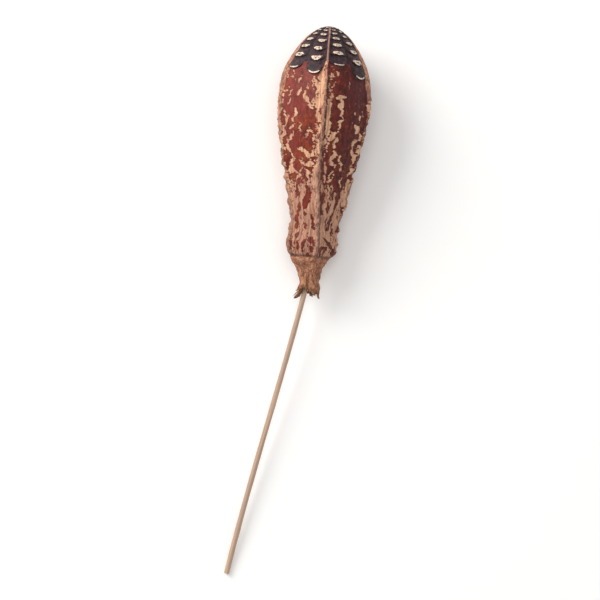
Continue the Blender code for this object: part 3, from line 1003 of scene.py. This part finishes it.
# A painted shadow: a dark line beside each rib, on the side away from the light on the top rib.
def rib_shadow_share(paint):
    beside = paint.off_rib + paint.teeth * 1.2
    shadow_line = paint.step(beside, 0.5, 0.8) * (1.0 - paint.step(beside, 1.25, 1.7))
    return shadow_line * paint.step(paint.mottle, 0.36, 0.5) * (0.25 + paint.by_front_rib * 0.6)


rib_wood = rib_wood_colour(pod_paint)
broad = extra_width(pod_paint)
on_rib = rib_share(pod_paint, broad)
skin = pod_paint.blend(on_rib * 0.92, skin, rib_wood)
# the painted shadow beside the ribs
skin = pod_paint.blend(rib_shadow_share(pod_paint), skin, colour(48, 32, 29))
print("nodes with the ribs:", len(pod_paint.tree.nodes))


# %% [markdown]
# Below the crease the neck is bare, lumpy wood in two browns with crumbs of lighter and darker bark. The
# crease is painted darker, as painted shade, and the torn rim is darker and fibrous.

# %% Neck, crease and torn rim
def neck_wood(paint):
    return paint.dabbed(
        colour(192, 136, 105),
        (paint.bumps, 0.4, 0.58, 1.0, (138, 90, 68)),
        (paint.dabs, 0.52, 0.64, 0.6, (108, 70, 54)),
        (paint.crumbs, 0.52, 0.62, 0.45, (110, 68, 48)),
        (1.0 - paint.crumbs, 0.56, 0.66, 0.5, (214, 166, 136)),
    )


def with_crease_and_rim(paint, skin):
    # Painted shade darkens the crease.
    in_crease = 1.0 - paint.step(abs(paint.from_tip - CREASE_LENGTH + paint.teeth * 1.2), 0.25, 1.0)
    skin = paint.dabbed(skin, (paint.mottle, 0.3, 0.5, in_crease * 0.7, (76, 48, 40)))
    rim = paint.dabbed(colour(96, 62, 43), (paint.fibres, 0.4, 0.6, 1.0, (160, 110, 78)))
    return paint.blend(paint.step(paint.stored("torn") + (paint.bumps - 0.5) * 0.9, 0.35, 0.8), skin, rim)


skin = pod_paint.blend(pod_paint.neck, skin, neck_wood(pod_paint))
skin = with_crease_and_rim(pod_paint, skin)
print("nodes with the neck:", len(pod_paint.tree.nodes))


# %% [markdown]
# Each scale is a nearly black plate with red-brown blotches. Its lip and its sides, where the columns meet,
# are painted near black as painted shade. A seed hung from each, and where it broke off it left a cream
# scar: an uneven oval with a brown ring and an off-centre pit. The lowest scales carried none and have only
# a cream crescent along the lip. All of it is drawn in the place on the scale, so one rule serves every
# scale, and noise makes each a little different.

# %% Scales of the crown
def scale_plate(paint):
    """(colour, relief) of the scales."""
    place = paint.node("UVMap", {"uv_map": "scale_place"})
    across = paint.node("SeparateXYZ", None, 0, Vector=place)
    down = paint.node("SeparateXYZ", None, 1, Vector=place)
    blotches = paint.field(paint.where, 700.0, 600.0, (0.0, 0.0, 0.0), 4.0, 0.65)
    jagged = paint.field(paint.where, 900.0, 800.0, (0.0, 0.0, 0.0), 3.0, 0.65) - 0.5
    sized = 1.08 + (paint.field(paint.grain, 0.22, 0.3, (7.0, 3.0, 1.0), 0.0) - 0.5) * 0.7
    has_scar = paint.step(paint.stored("scale_number"), 0.3, 0.7)
    oval = (abs(across + jagged * 0.5) / 0.54) ** 2.2 + (abs(down - 0.74 + jagged * 0.2) / 0.24) ** 2.2
    oval = oval * sized + jagged * 3.0
    scar = (1.0 - paint.step(oval, 0.8, 1.0)) * has_scar
    ring = paint.step(oval, 0.7, 0.85) * (1.0 - paint.step(oval, 0.95, 1.25)) * has_scar
    hollow = (across + jagged * 1.2) ** 2.0 * 40.0 + (down - 0.72 + jagged * 0.5) ** 2.0 * 150.0
    pit = (1.0 - paint.step(hollow, 0.25, 1.0)) * has_scar
    crescent = paint.step(down + jagged * 0.15, 0.845, 0.875) * (1.0 - paint.step(down, 0.945, 0.965))
    crescent = crescent * (1.0 - has_scar) * (1.0 - paint.step(abs(across) + jagged * 0.3, 0.4, 0.48))
    # Where painted shade goes: the end of each scale under its lip and the sides of each column.
    lip_shadow = paint.step(down, 0.95, 0.97).larger(paint.step(abs(across) + jagged * 0.09, 0.84, 0.93))

    plate = paint.dabbed(
        colour(36, 24, 29),
        (blotches, 0.38, 0.62, 1.0, (66, 42, 48)),
        (blotches, 0.56, 0.66, 0.7, (96, 46, 40)),
        (paint.crumbs, 0.56, 0.66, 0.6, (22, 15, 18)),
    )
    scar_wood = paint.dabbed(colour(229, 217, 200), (paint.crumbs, 0.42, 0.62, 1.0, (176, 144, 120)))
    plate = paint.blend(scar.larger(crescent), plate, scar_wood)
    plate = paint.dabbed(plate, (paint.crumbs, 0.42, 0.56, ring * 0.8, (140, 84, 58)))
    plate = paint.blend((1.0 - paint.step(hollow, 0.8, 2.4)) * scar * 0.6, plate, colour(170, 112, 76))
    plate = paint.blend(pit * 0.9, plate, colour(62, 38, 32))
    # painted shade, near black, under each lip and along the sides of each column
    plate = paint.blend(lip_shadow * 0.9, plate, colour(24, 17, 20))
    return plate, (blotches - 0.5) * 0.8 + scar * 0.5 - pit * 0.8


plate, plate_relief = scale_plate(pod_paint)
off_edge = abs(pod_paint.off_rib) - broad + (pod_paint.fibres - 0.5) * 1.2
plate = pod_paint.blend(1.0 - pod_paint.step(off_edge, 0.25, 0.5), plate, rib_wood)
skin = pod_paint.blend(pod_paint.crown, skin, plate)
print("nodes with the scales:", len(pod_paint.tree.nodes))


# %% [markdown]
# Last come gloss and fine relief. The same masks drive them, so paint and surface agree: the film is satin
# and stands a little above the wood, wood is dull and fibrous, and the neck is dull and lumpy.

# %% Gloss and relief
def finish(paint, skin, film, on_rib, plate_relief):
    fibres, fine_fibres, mottle = paint.fibres - 0.5, paint.fine_fibres - 0.5, paint.mottle - 0.5
    gloss = film * (1.0 - paint.crown) * (1.0 - on_rib)
    grained = fibres * 0.7 * (1.0 - film) + fine_fibres * 0.3 - mottle * on_rib * 1.2
    lumpy = (paint.bumps - 0.5) * 2.4 + (paint.crumbs - 0.5) * 0.9
    relief = film * 0.6 + (paint.specks - 0.5) * 0.35 + lumpy * paint.neck + paint.crown * plate_relief
    relief = relief + grained * (1.0 - paint.neck) * (1.0 - paint.crown * 0.8)
    inputs = paint.surface.inputs
    inputs["Specular IOR Level"].default_value = 0.25
    paint.feed(inputs["Base Color"], skin)
    paint.feed(inputs["Roughness"], 0.85 - gloss * 0.35 - paint.crown * 0.35 + fine_fibres * 0.2)
    paint.feed(inputs["Normal"], paint.node("Bump", Strength=0.8, Distance=0.0004, Height=relief))
    return paint.material


pod.data.materials.append(finish(pod_paint, skin, film, on_rib, plate_relief))
print("nodes in the pod's finish:", len(pod_paint.tree.nodes))


# %% [markdown]
# The stick is a thin round rod, cut off square, that bows a little. The same grid of rings makes it, so
# its thickness can wander slightly as on a real rod. It lies where the plain stick lies.

# %% The stick
STICK_RADIUS = 1.15
STICK_LENGTH = 146.0
STICK_START = 100.0
STICK_SIDE_AT_START = 0.9
STICK_LEAN = math.radians(9.6)
STICK_BOW = math.radians(2.2)
STICK_RINGS = 400
STICK_SIDES = 32


def stick_route():
    """(points, directions) along the stick's centre line, in the pod's own space in millimetres."""
    reach = np.linspace(0.0, STICK_LENGTH, STICK_RINGS)
    lean = STICK_LEAN + STICK_BOW * np.sin(math.pi * reach / STICK_LENGTH)
    directions = np.stack([-np.sin(lean), -np.cos(lean), np.zeros_like(lean)], axis=-1)
    steps = (directions[1:] + directions[:-1]) / 2 * np.diff(reach)[:, None]
    start = np.array([[STICK_SIDE_AT_START, -STICK_START, 0.0]])
    return np.concatenate([start, start + np.cumsum(steps, axis=0)]), directions, reach


def stick_piece():
    centres, directions, reach = stick_route()
    turn = np.linspace(0.0, 2 * math.pi, STICK_SIDES, endpoint=False)
    side = np.cross(directions, (0.0, 0.0, 1.0))
    wander = 1.0 + 0.02 * np.sin(reach * 0.21) + 0.015 * np.sin(reach * 0.55 + 1.0)
    fluting = 0.015 * np.sin(5 * turn) + 0.01 * np.sin(9 * turn + 1.0)
    radius = STICK_RADIUS * (wander[:, None] + fluting[None, :])
    ends = np.minimum(reach, STICK_LENGTH - reach)
    radius = radius * (1.0 - 0.12 * np.exp(-ends / 0.12))[:, None]
    grid = (
        centres[:, None, :]
        + radius[..., None] * np.cos(turn)[None, :, None] * side[:, None, :]
        + radius[..., None] * np.sin(turn)[None, :, None] * np.array([0.0, 0.0, 1.0])
    )
    piece, row, segment = sphere_over("stick_surface", grid, centres[0], centres[-1])
    places = np.empty(len(piece.data.vertices) * 3)
    piece.data.vertices.foreach_get("co", places)
    piece.data.vertices.foreach_set("co", lay_down(places.reshape(-1, 3)).ravel())
    unrolled = np.stack([6.0 * np.cos(turn[segment]), reach[row], 6.0 * np.sin(turn[segment])], axis=-1)
    add_values(piece, "grain", unrolled, "FLOAT_VECTOR")
    add_values(piece, "cut_end", smooth_step(reach[row], STICK_LENGTH - 0.5, STICK_LENGTH - 0.2))
    piece.data.shade_smooth()
    piece.data.set_sharp_from_angle(angle=math.radians(50))
    return piece


def stick_finish():
    paint = Paint("stick_wood")
    grain, cut_end = paint.stored("grain", "Vector"), paint.stored("cut_end")
    fibres = paint.noise(paint.stretch(grain, (1.5, 0.05, 1.5)), 4.0, 0.6)
    specks = paint.noise(paint.stretch(grain, (2.0, 0.5, 2.0), (4.0, 1.0, 2.0)), 3.0, 0.6)
    slow = paint.noise(paint.stretch(grain, (0.05, 0.03, 0.05), (1.0, 3.0, 2.0)), 1.0)
    wood = paint.blend(paint.step(fibres, 0.3, 0.7), colour(150, 118, 96), colour(206, 174, 148))
    wood = paint.blend(paint.step(slow, 0.35, 0.7) * 0.5, wood, colour(168, 142, 124))
    wood = paint.blend(paint.step(specks, 0.66, 0.76) * 0.6, wood, colour(112, 84, 68))
    end_grain = paint.blend(paint.step(specks, 0.5, 0.7), colour(196, 166, 134), colour(120, 90, 66))
    wood = paint.blend(cut_end, wood, end_grain)
    paint.feed(paint.surface.inputs["Base Color"], wood)
    paint.feed(paint.surface.inputs["Roughness"], 0.62 + (fibres - 0.5) * 0.3)
    relief = (fibres - 0.5) + (specks - 0.5) * 0.4
    bump = paint.node("Bump", Strength=0.6, Distance=0.0002, Height=relief)
    paint.feed(paint.surface.inputs["Normal"], bump)
    return paint.material


stick = stick_piece()
stick.data.materials.append(stick_finish())
print("length of the stick, mm:", STICK_LENGTH)


# %% [markdown]
# Where the fruit broke off, the neck ends in torn wood: blunt chips, a tuft that flares out on one side and
# thin fibres between them. All are made alike, as tapered slivers of a few rings, closed at both ends, that
# start in the rim, run on along the grain and bend outwards or sideways. A chip is a wide sliver that keeps
# its width almost to its end, and a few of them lie over the notch where the stick comes out. Numbers,
# lengths and bends are random, from a fixed seed.

# %% Torn fibres
FIBRES = 44
CHIPS = 74
SLIVER_RINGS = 8
SLIVER_SIDES = 7
TUFT_ANGLE = math.radians(-104)
HANGING_ANGLE = math.radians(42)
SPLINTERS = (
    (-0.5, 0.3), (-0.3, 0.12), (-0.14, 0.2), (0.0, -0.05),
    (0.12, 0.1), (0.25, -0.25), (0.4, -0.1), (0.55, -0.35),
)


def sliver(mesh, rng, start, aim, bend, reach, wide, thick, side, blunt):
    """Adds one sliver to a bmesh, from a start along an aim, bending towards bend."""
    rings = []
    shade = mesh.verts.layers.float["shade"]
    tone = rng.uniform(0.0, 1.0)
    out = np.cross(side, aim)
    uneven = rng.uniform(0.7, 1.25, SLIVER_SIDES)
    for share in np.linspace(0.0, 1.0, SLIVER_RINGS):
        centre = start + aim * reach * share + bend * reach * share * share
        size = ((1.0 - share**blunt) ** 0.7 + 0.06) * rng.uniform(0.85, 1.15)
        ring = []
        for k in range(SLIVER_SIDES):
            turn = 2 * math.pi * k / SLIVER_SIDES
            ends = uneven[k] * size
            corner = centre + side * wide * ends * math.cos(turn) + out * thick * ends * math.sin(turn)
            vertex = mesh.verts.new(lay_down((corner + aim * reach * rng.uniform(-0.04, 0.04))[None, :])[0])
            vertex[shade] = tone
            ring.append(vertex)
        rings.append(ring)
    for near, far in zip(rings, rings[1:]):
        for k in range(SLIVER_SIDES):
            mesh.faces.new((near[k], near[k - 1], far[k - 1], far[k]))
    mesh.faces.new(rings[0])
    mesh.faces.new(reversed(rings[-1]))


def near_angle(at, middle, spread):
    """1 at an angle round the neck, fading away from it."""
    return math.exp(-((abs(np.angle(np.exp(1j * (at - middle)))) / spread) ** 2))


def torn_wood(mesh, rng, is_chip):
    at = rng.uniform(-math.pi, math.pi)
    tuft = near_angle(at, TUFT_ANGLE, 0.55)
    hanging = near_angle(at, HANGING_ANGLE, 0.8)
    notch = near_angle(at, NOTCH_ANGLE, 0.5)
    back = rng.uniform(0.8, 2.6)
    end = LENGTH[-1] + float(torn_edge(np.array([at]))[0])
    along, radius = on_surface(np.array([min(end - back, LENGTH[-1])]), np.array([at]), 0.0)
    inner = rng.uniform(0.2, 0.9) if rng.uniform() < 0.7 else rng.uniform(0.9, 2.4)
    root = turned(along + max(end - back - LENGTH[-1], 0.0), radius - inner, np.array([at]))[0]
    turn = at + TWIST
    out = np.array([math.sin(turn), 0.0, math.cos(turn)])
    side = np.array([math.cos(turn), 0.0, -math.sin(turn)])
    flare = rng.uniform(-0.05, 0.22) + 0.45 * tuft
    aim = np.array([0.0, -1.0, 0.0]) + out * flare + side * rng.uniform(-0.3, 0.3)
    aim /= np.linalg.norm(aim)
    bend = out * (rng.uniform(-0.2, 0.2) + 0.1 * tuft) + side * rng.uniform(-0.2, 0.2)
    past = rng.uniform(-0.3, 0.9) + 0.5 * tuft + 1.5 * hanging * rng.uniform(0.2, 1.0) - 0.6 * notch
    if is_chip:
        wide = rng.uniform(0.35, 0.95)
        sliver(mesh, rng, root, aim, bend, back + past, wide, wide * rng.uniform(0.5, 0.9), side, 5.0)
    else:
        wide = rng.uniform(0.1, 0.28)
        sliver(mesh, rng, root, aim, bend, back + past + 0.3, wide, wide * 0.8, side, 1.6)


def splinters(mesh, rng):
    """A few blunt splinters that lie over the notch, where the stick comes out."""
    for beside, lean in SPLINTERS:
        at = NOTCH_ANGLE + beside
        along, radius = on_surface(np.array([LENGTH[-1] - rng.uniform(5.0, 6.0)]), np.array([at]), 0.0)
        root = turned(along, radius - rng.uniform(0.75, 1.2), np.array([at]))[0]
        turn = at + TWIST
        out = np.array([math.sin(turn), 0.0, math.cos(turn)])
        side = np.array([math.cos(turn), 0.0, -math.sin(turn)])
        aim = np.array([0.0, -1.0, 0.0]) + side * lean + out * rng.uniform(0.0, 0.12)
        aim /= np.linalg.norm(aim)
        wide = rng.uniform(0.35, 0.7)
        reach = rng.uniform(4.2, 5.8)
        sliver(mesh, rng, root, aim, out * 0.02, reach, wide, wide * 0.7, side, rng.uniform(5.0, 12.0))


def torn_fibres():
    mesh = bmesh.new()
    mesh.verts.layers.float.new("shade")
    rng = np.random.default_rng(5)
    for i in range(CHIPS + FIBRES):
        torn_wood(mesh, rng, i < CHIPS)
    splinters(mesh, rng)
    bmesh.ops.recalc_face_normals(mesh, faces=mesh.faces)
    data = bpy.data.meshes.new("torn_fibres")
    mesh.to_mesh(data)
    mesh.free()
    piece = bpy.data.objects.new("torn_fibres", data)
    bpy.context.scene.collection.objects.link(piece)
    data.shade_smooth()
    data.set_sharp_from_angle(angle=math.radians(40))
    return piece


def fibre_finish():
    paint = Paint("torn_fibre_wood")
    where = paint.node("TexCoord", None, "Object")
    grain = paint.noise(paint.stretch(where, (2600.0, 900.0, 2600.0)), 4.0, 0.65)
    shade = paint.stored("shade")
    wood = paint.blend(shade, colour(108, 70, 48), colour(178, 124, 88))
    wood = paint.blend(paint.step(grain, 0.4, 0.65) * 0.6, wood, colour(66, 43, 32))
    paint.feed(paint.surface.inputs["Base Color"], wood)
    paint.surface.inputs["Roughness"].default_value = 0.85
    paint.feed(paint.surface.inputs["Normal"], paint.node("Bump", Strength=0.5, Distance=0.0002, Height=grain))
    return paint.material


fibres = torn_fibres()
fibres.data.materials.append(fibre_finish())
print("triangles in the torn fibres:", sum(len(face.vertices) - 2 for face in fibres.data.polygons))


# %% [markdown]
# Each finished piece stands for its plain node and rides with it, so it goes wherever the model goes.

# %% Hand the pieces to the frame
for piece, node in ((pod, "pod"), (fibres, "pod"), (stick, "stick")):
    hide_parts(node)
    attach(piece, "root")


# %% [markdown]
# The surface is a wide pale sheet. The light is soft and comes from the upper left, as in a small studio:
# one large key light, a weak one from the right, one from above and a pale sky that fills the shadows.

# %% Surface and light
def floor_finish():
    paint = Paint("pale_sheet")
    where = paint.node("TexCoord", None, "Object")
    mottle = paint.noise(paint.stretch(where, (3.0, 3.0, 3.0)), 3.0)
    sheet = paint.blend(mottle, colour(244, 243, 241), colour(248, 247, 246))
    paint.feed(paint.surface.inputs["Base Color"], sheet)
    paint.surface.inputs["Roughness"].default_value = 0.9
    return paint.material


bpy.ops.mesh.primitive_plane_add(size=6.0)
floor = bpy.context.object
floor.name = "pale_floor"
floor.data.materials.append(floor_finish())


def soft_light(name, spot, target, size, power, warmth):
    light = bpy.data.lights.new(name, "AREA")
    light.shape = "DISK"
    light.size = size
    light.energy = power
    light.color = warmth
    lamp = bpy.data.objects.new(name, light)
    bpy.context.scene.collection.objects.link(lamp)
    lamp.location = spot
    lamp.rotation_euler = (Vector(spot) - Vector(target)).to_track_quat("Z", "Y").to_euler()
    return lamp


middle = (plain_low + plain_high) / 2
soft_light("key", (-0.85, 0.55, 0.68), middle, 0.9, 12.8, (1.0, 0.98, 0.95))
soft_light("fill", (0.8, -0.3, 0.7), middle, 0.9, 1.0, (0.96, 0.98, 1.0))
soft_light("top", (0.0, 0.1, 1.4), middle, 0.8, 5.0, (1.0, 1.0, 1.0))
world = bpy.data.worlds.new("studio")
bpy.context.scene.world = world
world.use_nodes = True
world.node_tree.nodes["Background"].inputs["Color"].default_value = (1.0, 1.0, 1.0, 1.0)
world.node_tree.nodes["Background"].inputs["Strength"].default_value = 0.5
bpy.context.scene.view_settings.view_transform = "Standard"


# %% [markdown]
# The photograph was taken square to the pod, with the pod leaning a little to the right. The piece lies
# here, so the camera looks down on it, square to the pod's axis, and is rolled by that lean. A long lens
# from over a metre away keeps the outline true.

# %% Camera
LEAN = math.radians(4.4)
VIEW_HEIGHT = 0.262
DISTANCE = 1.3
camera = bpy.data.objects.new("camera", bpy.data.cameras.new("camera"))
bpy.context.scene.collection.objects.link(camera)
square = Matrix.Rotation(TILT, 4, "X") @ Matrix.Rotation(LEAN, 4, "Z")
camera.matrix_world = Matrix.Translation(middle) @ square @ Matrix.Translation((0.0, 0.0, DISTANCE))
camera.data.lens = camera.data.sensor_width * DISTANCE / VIEW_HEIGHT
bpy.context.scene.camera = camera
print("lens, mm:", round(camera.data.lens), "view across, mm:", round(VIEW_HEIGHT / MM))
